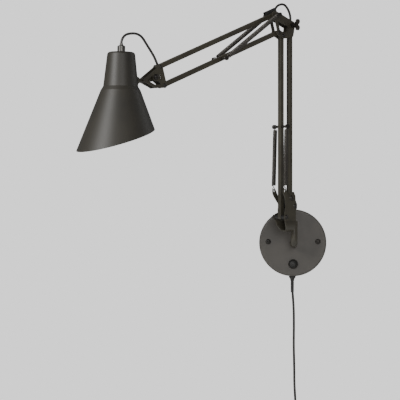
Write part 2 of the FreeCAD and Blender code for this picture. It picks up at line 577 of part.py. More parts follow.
washers += [washer, mirrored(washer)]
save_arm("head_rivets", Part.makeCompound(pins + washers))
tilt_head = dome(5.2, 3.4, at(TILT, LINK_OUT + 0.05), ACROSS)
tilt_nut = hexagon(5.2, 4, at(TILT, -LINK_OUT - 4.1), ACROSS)
save_arm("tilt_bolt", fused([rod(TILT, -LINK_OUT - 5, LINK_OUT + 0.1, TILT_BOLT_R), tilt_head, tilt_nut]))

# Tongue between the head plates, with a threaded stub and nut that hold the shade
STUB_R, STUB_LONG, TONGUE_HALF, COLLAR_R, COLLAR_THICK = 4.0, 25.5, 2.5, 6.4, 3.4
WALL_AT = add(SHADE_AT, (-NECK_LOW_R, 0.3))
tongue = web(TILT, add(WALL_AT, (-16.0, 0)), 5.0, -TONGUE_HALF, TONGUE_HALF)
stub = Part.makeCylinder(STUB_R, STUB_LONG, at(add(WALL_AT, (-18.0, 0))), ALONG)
collar = Part.makeCylinder(COLLAR_R, COLLAR_THICK, at(add(WALL_AT, (-4.0, 0))), ALONG)
save_arm("tilt_tongue", fused([tongue, stub, collar]).cut(rod(TILT, -9, 9, TILT_BOLT_R + RUN)))
stub_nut = hexagon(7.2, 3.6, at(add(WALL_AT, (3.7, 0))), ALONG)
save_arm("stub_nut", stub_nut.cut(Part.makeCylinder(STUB_R + 0.05, 20, at(add(WALL_AT, (-2.0, 0))), ALONG)))


# Shade: one spun shell, a rounded neck over a wide cone that is cut off at a slant. It is
# drawn round its own axis, with heights from the stub, and is then leaned and put in place.
def leaned(shape):
    moved = shape.copy()
    moved.rotate(V(0, 0, 0), ACROSS, -SHADE_LEAN_DEG)
    moved.translate(at(SHADE_AT))
    return moved


def shade_solid(inset):
    slope = math.tan(math.radians(CONE_DEG))
    low = RIM - 49.0
    corner = SHADE_CORNER_R - inset
    top = NECK_TOP - inset
    top_r, low_r, cone_r = NECK_TOP_R - inset, NECK_LOW_R - inset, CONE_TOP_R - inset
    wide_r = cone_r + (CONE_TOP - low) * slope
    points = [V(0, 0, low), V(wide_r, 0, low), V(cone_r, 0, CONE_TOP), V(low_r, 0, NECK_LOW)]
    shoulder = V(top_r, 0, top - corner)
    crown = V(top_r - corner, 0, top)
    cut_in = corner * (1 - math.sqrt(0.5))
    bulge = V(top_r - cut_in, 0, top - cut_in)
    edges = [Part.LineSegment(a, b).toShape() for a, b in zip(points, points[1:] + [shoulder])]
    edges += [Part.Arc(shoulder, bulge, crown).toShape(), Part.LineSegment(crown, V(0, 0, top)).toShape()]
    edges.append(Part.LineSegment(V(0, 0, top), points[0]).toShape())
    return Part.Face(Part.Wire(edges)).revolve(V(0, 0, 0), UP, 360)


shell = shade_solid(0.0).cut(shade_solid(SHADE_WALL))
KEEP = 400.0
keep = Part.makeBox(KEEP, KEEP, KEEP, V(-KEEP / 2, -KEEP / 2, 0))
keep.rotate(V(0, 0, 0), ACROSS, math.degrees(math.atan(RIM_SLOPE)))
keep.translate(V(0, 0, RIM))
shell = shell.common(keep)
shell = shell.cut(Part.makeCylinder(5.1, 20, V(0, 0, NECK_TOP - 10), UP))
shade = leaned(shell).cut(Part.makeCylinder(STUB_R + 0.1, 20, at(add(WALL_AT, (-8.0, 0))), ALONG))
save_arm("shade", shade)

# Cord gland on the neck, lamp holder under it, and the lamp
gland = fused([
    Part.makeCylinder(6.6, 9.6, V(0, 0, NECK_TOP + 0.05), UP),
    Part.makeCone(6.6, 4.2, 1.6, V(0, 0, NECK_TOP + 9.65), UP),
    Part.makeCylinder(2.9, 3.2, V(0, 0, NECK_TOP + 11.2), UP),
    Part.makeCylinder(5.0, 12, V(0, 0, NECK_TOP - 11), UP),
])
gland = gland.cut(Part.makeCylinder(LEAD_R + 0.3, 60, V(0, 0, NECK_TOP - 20), UP))
save_arm("cord_gland", leaned(gland.removeSplitter()))
holder = fused([
    Part.makeCone(12.0, 8.0, 4.0, V(0, 0, HOLDER_TOP - 4), UP),
    Part.makeCylinder(HOLDER_R - 2, 16, V(0, 0, HOLDER_TOP - 20), UP),
    Part.makeCylinder(HOLDER_R, HOLDER_TOP - 18 - HOLDER_LOW, V(0, 0, HOLDER_LOW), UP),
])
holder = holder.cut(Part.makeCylinder(13.6, 28, V(0, 0, HOLDER_LOW - 1), UP))
holder = holder.cut(Part.makeCylinder(5.05, 40, V(0, 0, HOLDER_TOP - 8), UP))
save_arm("lamp_holder", leaned(holder.removeSplitter()))
screw_cap = Part.makeCylinder(13.0, 22, V(0, 0, HOLDER_LOW + 1.5), UP)
screw_cap = screw_cap.fuse(Part.makeCone(12.0, 4.0, 2.4, V(0, 0, HOLDER_LOW + 23.5), UP))
save_arm("lamp_cap", leaned(screw_cap.removeSplitter()))
globe = Part.makeSphere(LAMP_R, V(0, 0, LAMP_AT))
THROAT_UP = 15.0
throat_r = math.sqrt(LAMP_R ** 2 - THROAT_UP ** 2)
throat_long = HOLDER_LOW + 1.4 - LAMP_AT - THROAT_UP
throat = Part.makeCone(throat_r, 11.6, throat_long, V(0, 0, LAMP_AT + THROAT_UP), UP)
save_arm("lamp_globe", leaned(globe.fuse(throat).removeSplitter()))

# Plug on the end of the stored cord, hanging beside the coil
PLUG_AT = TAIL[-1] + V(0, 0, -0.1)
plug = fused([
    Part.makeCone(3.2, 4.2, 9, PLUG_AT, -UP),
    Part.makeCone(4.2, 11.0, 5, PLUG_AT + V(0, 0, -9), -UP),
    Part.makeCylinder(11.0, 13, PLUG_AT + V(0, 0, -14), -UP),
])
save("plug_body", plug)
BLADE_GAP, BLADE = 12.7, (1.5, 6.3, 17.5)
blades = []
for way in (-1, 1):
    place = PLUG_AT + V(way * BLADE_GAP / 2 - BLADE[0] / 2, -BLADE[1] / 2, -27.05 - BLADE[2])
    blades.append(Part.makeBox(*BLADE, place))
save("plug_blades", Part.makeCompound(blades))

# Every solid is closed and sound; the cords' lengths and bends are printed
for name, shape in MADE.items():
    if not shape.isValid() or any(s.Volume <= 0 for s in shape.Solids) or not shape.Solids:
        raise SystemExit(name + " is not a sound solid")
print("mains cord", round(cord_length), "mm in view, bends", bend_radii(CORD))
print("coil holds", round(COIL_TURNS * 2 * math.pi * COIL_MEAN_R), "mm")
for name, points in LOOPS.items():
    print(name, "bends", bend_radii([at(p) for p in points], LOOP_ENDS))
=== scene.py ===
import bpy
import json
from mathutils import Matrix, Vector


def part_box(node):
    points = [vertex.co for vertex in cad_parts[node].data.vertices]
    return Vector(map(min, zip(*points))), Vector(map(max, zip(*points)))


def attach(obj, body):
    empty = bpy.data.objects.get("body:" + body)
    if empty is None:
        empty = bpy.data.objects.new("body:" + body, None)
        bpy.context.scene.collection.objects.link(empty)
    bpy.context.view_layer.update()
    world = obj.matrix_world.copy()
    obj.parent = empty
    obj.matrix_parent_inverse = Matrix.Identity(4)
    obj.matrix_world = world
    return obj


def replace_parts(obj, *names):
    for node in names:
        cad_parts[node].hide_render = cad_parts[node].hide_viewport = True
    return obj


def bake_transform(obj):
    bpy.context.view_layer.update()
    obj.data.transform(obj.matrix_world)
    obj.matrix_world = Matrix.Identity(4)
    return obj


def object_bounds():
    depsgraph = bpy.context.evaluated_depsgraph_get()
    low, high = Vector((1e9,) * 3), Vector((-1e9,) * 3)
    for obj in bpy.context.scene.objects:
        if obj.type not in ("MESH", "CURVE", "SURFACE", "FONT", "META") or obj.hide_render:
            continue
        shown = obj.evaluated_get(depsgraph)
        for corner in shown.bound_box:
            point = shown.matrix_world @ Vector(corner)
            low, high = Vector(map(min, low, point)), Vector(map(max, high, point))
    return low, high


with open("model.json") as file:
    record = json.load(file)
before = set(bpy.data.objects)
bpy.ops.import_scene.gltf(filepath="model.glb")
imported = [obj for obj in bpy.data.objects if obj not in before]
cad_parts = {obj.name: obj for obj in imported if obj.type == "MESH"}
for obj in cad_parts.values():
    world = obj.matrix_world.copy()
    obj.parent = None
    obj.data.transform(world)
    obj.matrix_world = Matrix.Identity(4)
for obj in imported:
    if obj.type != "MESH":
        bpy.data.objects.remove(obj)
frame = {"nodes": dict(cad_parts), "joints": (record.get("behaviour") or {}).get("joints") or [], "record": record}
import json
import math

import bmesh
import bpy
from mathutils import Vector

cad_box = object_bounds()

# Camera: square on to the wall and level, a long lens from far off, a little above the
# canopy and to its left. The view is 716 mm wide at the canopy's face.
VIEW_WIDTH, CAMERA_FAR = 0.716, 3.5
canopy_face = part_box("canopy")[0].y
camera_data = bpy.data.cameras.new("camera")
camera_data.sensor_width = 36
camera_data.lens = camera_data.sensor_width * CAMERA_FAR / VIEW_WIDTH
camera_data.clip_end = 50
camera = bpy.data.objects.new("camera", camera_data)
camera.location = (-0.1665, canopy_face - CAMERA_FAR, 0.0766)
camera.rotation_euler = (math.radians(90), 0, 0)
bpy.context.collection.objects.link(camera)
bpy.context.scene.camera = camera

# Mains cord: round flexible cord with a PVC sheath, 4.2 mm thick, held in the canopy's rim.
# It hangs down the wall, goes behind its coil and is wound into it: three layers, four deep.
# The plug hangs on its end beside the coil.
CORD_D = 0.0042
CORD_POINTS = [
    (-0.0008, -0.0110, -0.056), (-0.0008, -0.0110, -0.086), (0.0016, -0.0108, -0.112),
    (0.0022, -0.0102, -0.146), (0.0017, -0.0094, -0.184), (0.0029, -0.0082, -0.222),
    (0.0031, -0.0064, -0.256), (0.0052, -0.0040, -0.2845), (0.0054, -0.0023, -0.311),
]
INNER, MIDDLE, OUTER = 0.0188, 0.0230, 0.0272
BEHIND, BACK, FRONT, LAST = 0.0103, 0.0063, -0.0063, -0.0035
# Each row is the number of turns wound so far, the turn's radius and its depth in the coil.
LAY = [
    (0.0, 0.0274, BEHIND), (0.7, INNER, BEHIND), (1.0, INNER, BACK), (4.0, INNER, FRONT),
    (4.25, MIDDLE, FRONT), (7.25, MIDDLE, BACK), (7.5, OUTER, BACK), (10.5, OUTER, FRONT),
    (11.0, OUTER, LAST),
]
PER_TURN = 16
PLUG_GRIP = 0.008
coil_low, coil_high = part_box("cord_coil")
coil_at = (coil_low + coil_high) / 2
plug_low, plug_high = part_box("plug_body")
plug_top = Vector(((plug_low.x + plug_high.x) / 2, (plug_low.y + plug_high.y) / 2, plug_high.z))


def laid(turns):
    """The cord's radius and depth in the coil after so many turns."""
    for (t0, r0, y0), (t1, r1, y1) in zip(LAY, LAY[1:]):
        if turns <= t1:
            share = (turns - t0) / (t1 - t0)
            return r0 + (r1 - r0) * share, y0 + (y1 - y0) * share


route = [Vector(p) for p in CORD_POINTS]
for i in range(int(LAY[-1][0] * PER_TURN) + 1):
    radius, depth = laid(i / PER_TURN)
    # The spline runs inside its points, so they stand out by half of what it cuts off.
    radius /= (1 + math.cos(math.pi / PER_TURN)) / 2
    angle = -2 * math.pi * i / PER_TURN
    route.append(coil_at + Vector((radius * math.cos(angle), depth, radius * math.sin(angle))))
route.append(coil_at + Vector((OUTER, -0.0030, -0.012)))
route.append(coil_at + Vector((OUTER + 0.0005, -0.0022, -0.024)))
route += [plug_top, plug_top - Vector((0, 0, PLUG_GRIP))]


def smooth_curve(name, points, steps):
    """A curve of one NURBS spline with these control points."""
    curve = bpy.data.curves.new(name, "CURVE")
    curve.dimensions = "3D"
    curve.resolution_u = steps
    spline = curve.splines.new("NURBS")
    spline.points.add(len(points) - 1)
    for point, place in zip(spline.points, points):
        point.co = (*place, 1)
    spline.order_u = 3
    spline.use_endpoint_u = True
    return curve


cord_curve = smooth_curve("mains_cord", route, 6)
route_holder = bpy.data.objects.new("cord_route", cord_curve)
cord_path = [vert.co.copy() for vert in bpy.data.meshes.new_from_object(route_holder).vertices]
cord_curve.bevel_depth = CORD_D / 2
cord_curve.bevel_resolution = 4
cord_curve.use_fill_caps = True
cord_mesh = bpy.data.meshes.new_from_object(route_holder)
cord_mesh.shade_smooth()
bpy.data.objects.remove(route_holder)


def surface_group():
    """A finish's cloudy change of shade, its fine grain and its small changes of gloss."""
    group = bpy.data.node_groups.new("surface", "ShaderNodeTree")
    for name, kind, value in (
        ("Colour", "NodeSocketColor", (0.5, 0.5, 0.5, 1)),
        ("Second Colour", "NodeSocketColor", (0.5, 0.5, 0.5, 1)),
        ("Mottle", "NodeSocketFloat", 0.1),
        ("Mottle Scale", "NodeSocketFloat", 30.0),
        ("Grain Scale", "NodeSocketFloat", 900.0),
        ("Roughness", "NodeSocketFloat", 0.5),
        ("Roughness Change", "NodeSocketFloat", 0.1),
        ("Stretch", "NodeSocketVector", (1, 1, 1)),
    ):
        socket = group.interface.new_socket(name, in_out="INPUT", socket_type=kind)
        socket.default_value = value
    group.interface.new_socket("Colour", in_out="OUTPUT", socket_type="NodeSocketColor")
    group.interface.new_socket("Roughness", in_out="OUTPUT", socket_type="NodeSocketFloat")
    group.interface.new_socket("Height", in_out="OUTPUT", socket_type="NodeSocketFloat")
    nodes, links = group.nodes, group.links
    given, out = nodes.new("NodeGroupInput"), nodes.new("NodeGroupOutput")

    # The pattern's place, stretched along the way that the metal was turned or drawn
    place = nodes.new("ShaderNodeTexCoord")
    stretch = nodes.new("ShaderNodeVectorMath")
    stretch.operation = "MULTIPLY"
    links.new(place.outputs["Object"], stretch.inputs[0])
    links.new(given.outputs["Stretch"], stretch.inputs[1])
    cloud, grain = nodes.new("ShaderNodeTexNoise"), nodes.new("ShaderNodeTexNoise")
    cloud.inputs["Detail"].default_value = 4
    grain.inputs["Detail"].default_value = 3
    for texture, scale in ((cloud, "Mottle Scale"), (grain, "Grain Scale")):
        links.new(stretch.outputs[0], texture.inputs["Vector"])
        links.new(given.outputs[scale], texture.inputs["Scale"])

    # Clouds of the second colour in the first, both a little lighter or darker with the grain
    spread = nodes.new("ShaderNodeMapRange")
    spread.inputs["From Min"].default_value = 0.38
    spread.inputs["From Max"].default_value = 0.62
    links.new(cloud.outputs["Fac"], spread.inputs["Value"])
    mix = nodes.new("ShaderNodeMix")
    mix.data_type = "RGBA"
    links.new(spread.outputs[0], mix.inputs["Factor"])
    links.new(given.outputs["Colour"], mix.inputs[6])
    links.new(given.outputs["Second Colour"], mix.inputs[7])
    centred = nodes.new("ShaderNodeMath")
    centred.operation = "SUBTRACT"
    centred.inputs[1].default_value = 0.5
    links.new(grain.outputs["Fac"], centred.inputs[0])
    amount = nodes.new("ShaderNodeMath")
    amount.operation = "MULTIPLY_ADD"
    amount.inputs[2].default_value = 1.0
    links.new(centred.outputs[0], amount.inputs[0])
    links.new(given.outputs["Mottle"], amount.inputs[1])
    tint = nodes.new("ShaderNodeVectorMath")
    tint.operation = "SCALE"
    links.new(mix.outputs[2], tint.inputs[0])
    links.new(amount.outputs[0], tint.inputs["Scale"])
    links.new(tint.outputs[0], out.inputs["Colour"])

    # Gloss that changes with the grain
    gloss = nodes.new("ShaderNodeMath")
    gloss.operation = "MULTIPLY_ADD"
    links.new(centred.outputs[0], gloss.inputs[0])
    links.new(given.outputs["Roughness Change"], gloss.inputs[1])
    links.new(given.outputs["Roughness"], gloss.inputs[2])
    links.new(gloss.outputs[0], out.inputs["Roughness"])
    links.new(grain.outputs["Fac"], out.inputs["Height"])
    return group


surface = surface_group()
finishes = {}


def dress(slot, colour, second, roughness, metallic=0.0, mottle=0.3, mottle_scale=35.0,
          grain_scale=1400.0, bump=0.15, stretch=(1, 1, 1)):
    """Makes a slot's finish and puts it on every CAD node of that slot."""
    material = bpy.data.materials.new(slot)
    material.use_nodes = True
    nodes, links = material.node_tree.nodes, material.node_tree.links
    shader = nodes["Principled BSDF"]
    shader.inputs["Metallic"].default_value = metallic
    effect = nodes.new("ShaderNodeGroup")
    effect.node_tree = surface
    for socket, value in (
        ("Colour", (*colour, 1)),
        ("Second Colour", (*second, 1)),
        ("Mottle", mottle),
        ("Mottle Scale", mottle_scale),
        ("Grain Scale", grain_scale),
        ("Roughness", roughness),
        ("Roughness Change", 0.25),
        ("Stretch", stretch),
    ):
        effect.inputs[socket].default_value = value
    links.new(effect.outputs["Colour"], shader.inputs["Base Color"])
    links.new(effect.outputs["Roughness"], shader.inputs["Roughness"])
    raised = nodes.new("ShaderNodeBump")
    raised.inputs["Strength"].default_value = bump
    raised.inputs["Distance"].default_value = 0.0002
    links.new(effect.outputs["Height"], raised.inputs["Height"])
    links.new(raised.outputs["Normal"], shader.inputs["Normal"])
    finishes[slot] = material
    for part in frame["record"]["subparts"]:
        if part["material_slot"] == slot:
            shown = frame["nodes"][part["node"]]
            shown.data.materials.clear()
            shown.data.materials.append(material)


dress("cord_sheath", (0.017, 0.015, 0.013), (0.022, 0.020, 0.017), 0.45)
cord_mesh.materials.clear()
cord_mesh.materials.append(finishes["cord_sheath"])
cord = bpy.data.objects.new("mains_cord_piece", cord_mesh)
bpy.context.collection.objects.link(cord)
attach(cord, "wall_unit")
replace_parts(cord, "mains_cord", "cord_coil")

# Wall strap, nuts and canopy: the strap and the nuts are zinc-plated steel, hidden behind the
# canopy. The canopy is spun steel with a satin powder coat that dries in soft clouds.
dress("zinc_steel", (0.50, 0.50, 0.47), (0.60, 0.60, 0.58), 0.35, metallic=1.0)
dress("canopy_paint", (0.070, 0.064, 0.056), (0.084, 0.076, 0.066), 0.46, mottle_scale=20.0)

# Wall tube, fork, bars and link plates: bent, pressed and welded steel with the frame's
# satin coat. Their CAD shapes are shown as they are, and so are the moulded bushes.
dress("frame_paint", (0.042, 0.037, 0.026), (0.054, 0.048, 0.033), 0.36)
dress("bush_plastic", (0.024, 0.023, 0.022), (0.032, 0.031, 0.029), 0.55)

# Canopy screws: pan-head machine screws with a cross recess, black oxide, through the canopy
# into the strap's tapped ends. Pins, rivets and clamp bolts elsewhere have the same finish.
dress("dark_fixings", (0.020, 0.018, 0.016), (0.034, 0.030, 0.026), 0.36, metallic=0.5)


def piece_from(shape, name, slot, body=None, sharp_deg=32):
    """Makes a piece of a bmesh or a mesh, in its slot's finish, riding on its body."""
    if isinstance(shape, bmesh.types.BMesh):
        mesh = bpy.data.meshes.new(name)
        bmesh.ops.recalc_face_normals(shape, faces=shape.faces)
        shape.to_mesh(mesh)
        shape.free()
    else:
        mesh = shape
    mesh.shade_smooth()
    mesh.set_sharp_from_angle(angle=math.radians(sharp_deg))
    mesh.materials.clear()
    mesh.materials.append(finishes[slot])
    piece = bpy.data.objects.new(name, mesh)
    bpy.context.collection.objects.link(piece)
    if body:
        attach(piece, body)
    return piece


def add_spun(shape, profile, centre, axis, steps=48):
    """Spins a profile of (radius, height) points round axis, joined up unless both ends are on it."""
    axis = axis.normalized()
    side = axis.orthogonal().normalized()
    verts = [shape.verts.new(centre + side * r + axis * h) for r, h in profile]
    edges = [shape.edges.new((a, b)) for a, b in zip(verts, verts[1:])]
    if profile[0][0] > 0 or profile[-1][0] > 0:
        edges.append(shape.edges.new((verts[-1], verts[0])))
    bmesh.ops.spin(
        shape, geom=verts + edges, cent=centre, axis=axis, angle=2 * math.pi, steps=steps, use_merge=True
    )
    bmesh.ops.remove_doubles(shape, verts=shape.verts, dist=1e-6)


def add_block(shape, low, high, edge):
    """Adds a block with rounded edges between two corners."""
    made = bmesh.ops.create_cube(shape, size=1)
    size = Vector(high) - Vector(low)
    for vert in made["verts"]:
        vert.co = Vector(low) + Vector((vert.co[i] + 0.5) * size[i] for i in range(3))
    edges = list({e for vert in made["verts"] for e in vert.link_edges})
    bmesh.ops.bevel(shape, geom=edges, offset=edge, affect="EDGES", segments=3, profile=0.5, material=-1)


def carve(piece, cutter_shape):
    """Cuts a shape out of a piece."""
    mesh = bpy.data.meshes.new("cutter")
    bmesh.ops.recalc_face_normals(cutter_shape, faces=cutter_shape.faces)
    cutter_shape.to_mesh(mesh)
    cutter_shape.free()
    cutter = bpy.data.objects.new("cutter", mesh)
    bpy.context.collection.objects.link(cutter)
    cut = piece.modifiers.new("cut", "BOOLEAN")
    cut.operation, cut.object, cut.solver = "DIFFERENCE", cutter, "EXACT"
    bpy.context.view_layer.update()
    seen = piece.evaluated_get(bpy.context.evaluated_depsgraph_get())
    carved = bpy.data.meshes.new_from_object(seen)
    piece.modifiers.clear()
    piece.data = carved
    bpy.data.objects.remove(cutter)


def arc(radius_at, height_at, radius, start_deg, end_deg, steps):
    """Points of an arc in a profile."""
    turns = [math.radians(start_deg + (end_deg - start_deg) * i / steps) for i in range(steps + 1)]
    return [(radius_at + radius * math.cos(t), height_at + radius * math.sin(t)) for t in turns]


OUT = Vector((0, -1, 0))
UP = Vector((0, 0, 1))
HEAD_R, HEAD_HIGH, HEAD_RIM = 0.0048, 0.0026, 0.0004
SHANK_R, SHANK_LONG = 0.0019, 0.018
RECESS_WIDE, RECESS_LONG, RECESS_FLOOR = 0.0010, 0.0046, 0.0012
crown = [
    (HEAD_R * math.cos(t), HEAD_RIM + (HEAD_HIGH - HEAD_RIM) * math.sin(t))
    for t in (i / 10 * math.pi / 2 for i in range(11))
]
screw_profile = [(0, -SHANK_LONG), (SHANK_R, -SHANK_LONG), (SHANK_R, 0), (HEAD_R, 0), *crown]
screws_low, screws_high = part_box("canopy_screws")
screw_z = (screws_low.z + screws_high.z) / 2
for side, x in (("left", screws_low.x + HEAD_R), ("right", screws_high.x - HEAD_R)):
    screw_at = Vector((x, canopy_face, screw_z))
    shape = bmesh.new()
    add_spun(shape, screw_profile, screw_at, OUT)
    screw = piece_from(shape, "canopy_screw_" + side, "dark_fixings", "wall_unit")
    for wide, high in ((RECESS_WIDE, RECESS_LONG), (RECESS_LONG, RECESS_WIDE)):
        recess = bmesh.new()
        corner = screw_at + Vector((-wide / 2, -0.004, -high / 2))
        add_block(recess, corner, screw_at + Vector((wide / 2, -RECESS_FLOOR, high / 2)), 0.0001)
        carve(screw, recess)
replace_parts(screw, "canopy_screws")

# Switch: a threaded steel bezel with a rounded lip, a domed push button that slides in it,
# and the moulded case behind with its two solder tags.
dress("black_plastic", (0.014, 0.013, 0.012), (0.019, 0.018, 0.016), 0.5, grain_scale=2500.0)
THREADS, THREAD_R, THREAD_DEEP, THREAD_STEP = 17, 0.0070, 0.0003, 0.00045
bezel_low, bezel_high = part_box("switch_bezel")
switch_at = Vector(((bezel_low.x + bezel_high.x) / 2, canopy_face, (bezel_low.z + bezel_high.z) / 2))
lip = arc(0.0076, 0.0011, 0.0010, 180, 0, 8)
threads = [(THREAD_R - THREAD_DEEP * (i % 2), -0.0004 - i * THREAD_STEP) for i in range(THREADS)]
shape = bmesh.new()
add_spun(
    shape,
    [(0.00652, -0.0080), (0.00652, 0.0011), *lip, (0.0086, 0.0001), (THREAD_R, 0.0001), *threads],
    switch_at, OUT, 64,
)
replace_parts(piece_from(shape, "switch_bezel_piece", "dark_fixings", "wall_unit"), "switch_bezel")

DOME_R, DOME_HIGH = 0.0043, 0.0010
button_at = Vector((switch_at.x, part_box("switch_button")[0].y, switch_at.z))
dome = [
    (DOME_R * math.cos(math.radians(t)), DOME_HIGH * (math.sin(math.radians(t)) - 1))
    for t in range(0, 91, 10)
]
shape = bmesh.new()
add_spun(
    shape,
    [
        (0, -0.0095), (0.00635, -0.0095), (0.00638, -0.0022), (0.0062, -0.0016), (0.0057, -0.0012),
        (0.0051, -0.0010), (0.0048, -0.0014), (0.0045, -0.0014), *dome,
    ],
    button_at, OUT, 64,
)
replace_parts(piece_from(shape, "switch_button_piece", "black_plastic", "button"), "switch_button")

TAG_WIDE, TAG_LONG, TAG_HIGH = 0.0030, 0.0016, 0.0056
case_low, case_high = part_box("switch_case")
shape = bmesh.new()
add_block(shape, case_low, case_high - Vector((0, 0.0014, 0)), 0.0007)
for x in (-0.0055, 0.0025):
    tag_at = Vector((switch_at.x + x, case_high.y - TAG_LONG, switch_at.z - TAG_HIGH / 2))
    add_block(shape, tag_at, tag_at + Vector((TAG_WIDE, TAG_LONG, TAG_HIGH)), 0.0003)
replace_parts(piece_from(shape, "switch_case_piece", "black_plastic", "wall_unit"), "switch_case")

# Terminal block: a three-way block moulded in white plastic, on the strap inside the canopy.
# Each way has two wells with a zinc-plated clamp screw at the bottom.
dress("white_plastic", (0.72, 0.71, 0.68), (0.76, 0.75, 0.71), 0.45, mottle=0.1)
WAYS, WELL_IN, WELL_R, WELL_DEEP = 3, 0.0036, 0.0021, 0.0050
CLAMP_TOP = -0.0024
block_low, block_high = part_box("terminal_block")
shape = bmesh.new()
add_block(shape, block_low, block_high, 0.0010)
block = piece_from(shape, "terminal_block_piece", "white_plastic", "wall_unit")
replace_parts(block, "terminal_block")
wells, clamps = bmesh.new(), bmesh.new()
way_wide = (block_high.x - block_low.x) / WAYS
for way in range(WAYS):
    for row_z in (block_low.z + WELL_IN, block_high.z - WELL_IN):
        well_at = Vector((block_low.x + way_wide * (way + 0.5), block_high.y, row_z))
        add_spun(
            wells, [(0, 0.001), (WELL_R, 0.001), (WELL_R, -WELL_DEEP), (0, -WELL_DEEP)], well_at, -OUT, 20
        )
        add_spun(
            clamps,
            [(0, -0.0049), (0.0019, -0.0049), (0.0019, -0.0028), (0.0015, CLAMP_TOP), (0, CLAMP_TOP)],
            well_at, -OUT, 20,
        )
carve(block, wells)
piece_from(clamps, "terminal_screws", "zinc_steel", "wall_unit")

# Strain relief: a rubbery boot moulded on the cord and clipped in the canopy's rim. Shallow
# grooves let its tapered sleeve flex, and its collar is gripped by the rim.
GROOVES, GROOVE_STEP, GROOVE_FLOOR_R = 6, 0.0030, 0.00276
relief_low, relief_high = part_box("strain_relief")
relief_at = Vector(((relief_low.x + relief_high.x) / 2, (relief_low.y + relief_high.y) / 2, relief_low.z))
sleeve = []
for i in range(GROOVES):
    ring_r, h = 0.00290 + i * 0.00004, 0.0012 + i * GROOVE_STEP
    sleeve += [(ring_r, h), (ring_r, h + 0.0017), (GROOVE_FLOOR_R, h + 0.0020), (GROOVE_FLOOR_R, h + 0.0026)]
collar = [
    (0.0032, 0.0205), (0.0041, 0.0245), (0.0057, 0.0266), (0.0062, 0.0272),
    (0.0062, 0.0286), (0.0059, 0.0290), (0.0033, 0.0290), (0.0033, 0.0355),
]
shape = bmesh.new()
add_spun(shape, [(0.0022, 0), (0.0027, 0), *sleeve, *collar, (0.0022, 0.0355)], relief_at, UP)
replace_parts(piece_from(shape, "strain_relief_piece", "black_plastic", "wall_unit"), "strain_relief")

# Coil tie: a woven hook-and-loop strap round one side of the coil. Its free end is lapped
# over its start for a fifth of a turn, which is what holds it shut.
TIE_STEPS, TIE_LAPPED = 60, 12
TIE_THICK, TIE_UNDER, TIE_OVER = 0.0006, 0.0009, 0.0008
SQUARENESS = 5
tie_low, tie_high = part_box("coil_tie")
tie_at = (tie_low + tie_high) / 2
tie_half = (tie_high - tie_low) / 2
shape = bmesh.new()
rows = []
for i in range(TIE_STEPS + TIE_LAPPED + 1):
    angle = 2 * math.pi * i / TIE_STEPS
    inward = TIE_UNDER if i < TIE_STEPS else TIE_OVER
    c, s = math.cos(angle), math.sin(angle)
    square = (abs(c) ** SQUARENESS + abs(s) ** SQUARENESS) ** (-1 / SQUARENESS)
    row = []
    for thick in (0.0, TIE_THICK):
        x = (tie_half.x - inward + thick) * c * square
        y = (tie_half.y - inward + thick) * s * square
        row.append([shape.verts.new(tie_at + Vector((x, y, z))) for z in (-tie_half.z, tie_half.z)])
    rows.append(row)
for (a_in, a_out), (b_in, b_out) in zip(rows, rows[1:]):
    for quad in (
        (a_out[0], b_out[0], b_out[1], a_out[1]),
        (a_in[1], b_in[1], b_in[0], a_in[0]),
        (a_in[0], b_in[0], b_out[0], a_out[0]),
        (a_out[1], b_out[1], b_in[1], a_in[1]),
    ):
        shape.faces.new(quad)
for inner, outer in (rows[0], rows[-1]):
    shape.faces.new((inner[0], outer[0], outer[1], inner[1]))
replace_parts(piece_from(shape, "coil_tie_piece", "black_plastic", "wall_unit"), "coil_tie")

# Plug: a moulded round two-blade plug with a ribbed neck and finger grooves. The brass blades
# are moulded into it and have the usual round holes near their tips.
dress("blade_brass", (0.55, 0.40, 0.16), (0.60, 0.45, 0.20), 0.28, metallic=1.0)
neck = [(0.0030 + 0.00013 * i - 0.0004 * (i % 2), -0.0006 - 0.0010 * i) for i in range(9)]
shoulder = [(0.0048, -0.0100), (0.0070, -0.0110), (0.0095, -0.0124), (0.0106, -0.0138)]
grip = [(0.0108 - 0.0006 * (i % 2), -0.0150 - 0.0010 * i) for i in range(10)]
face = [(0.0109, -0.0256), (0.0104, -0.0268), (0.0098, -0.0270), (0, -0.0270)]
shape = bmesh.new()
add_spun(
    shape,
    [(0.0022, 0), (0.0028, 0), *neck, *shoulder, *grip, *face, (0, -0.0090), (0.0022, -0.0090)],
    plug_top, UP, 56,
)
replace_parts(piece_from(shape, "plug_piece", "black_plastic", "wall_unit"), "plug_body")

BLADE, BLADE_EDGE, HOLE_R, HOLE_UP = 0.0015, 0.0004, 0.0016, 0.0038
blades_low, blades_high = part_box("plug_blades")
shape = bmesh.new()
add_block(shape, blades_low, (blades_low.x + BLADE, blades_high.y, blades_high.z), BLADE_EDGE)
add_block(shape, (blades_high.x - BLADE, blades_low.y, blades_low.z), blades_high, BLADE_EDGE)
blades = piece_from(shape, "plug_blades_piece", "blade_brass", "wall_unit")
drill = bmesh.new()
drill_at = Vector((blades_low.x - 0.002, plug_top.y, blades_low.z + HOLE_UP))
add_spun(drill, [(0, 0), (HOLE_R, 0), (HOLE_R, 0.020), (0, 0.020)], drill_at, Vector((1, 0, 0)), 24)
carve(blades, drill)
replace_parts(blades, "plug_blades")

